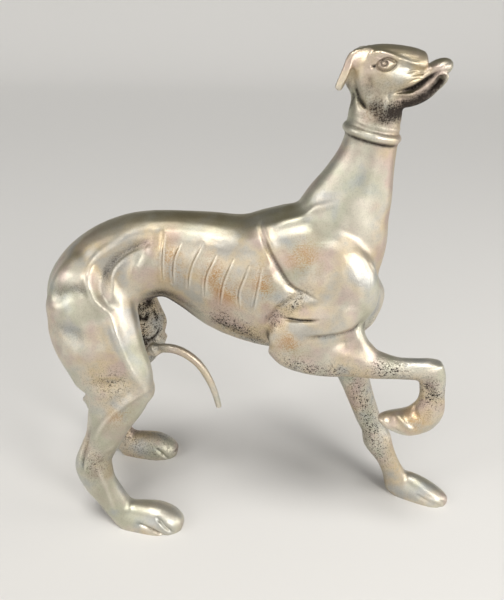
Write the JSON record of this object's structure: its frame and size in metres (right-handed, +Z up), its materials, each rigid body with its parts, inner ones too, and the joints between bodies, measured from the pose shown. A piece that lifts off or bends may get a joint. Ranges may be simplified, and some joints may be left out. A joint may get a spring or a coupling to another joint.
{
  "type": "greyhound statue",
  "caption": "Standing greyhound figurine, silver-finished cast metal, one forepaw raised and curled, head high, ribbed collar ring and a tail curling forward between the hind legs.",
  "frame": {"origin": "on the ground, under the middle of the dog's bounding box", "axes": "+X towards the head, +Y towards the dog's left side, +Z up"},
  "size_m": [0.2762, 0.0978, 0.3048],
  "materials": {
    "silvered_brass": "silver-plated cast brass, hand polished, with a warm worn patina, copper-coloured stains and dark rough recesses"
  },
  "bodies": {
    "root": {"greyhound": "silvered_brass"}
  },
  "joints": []
}
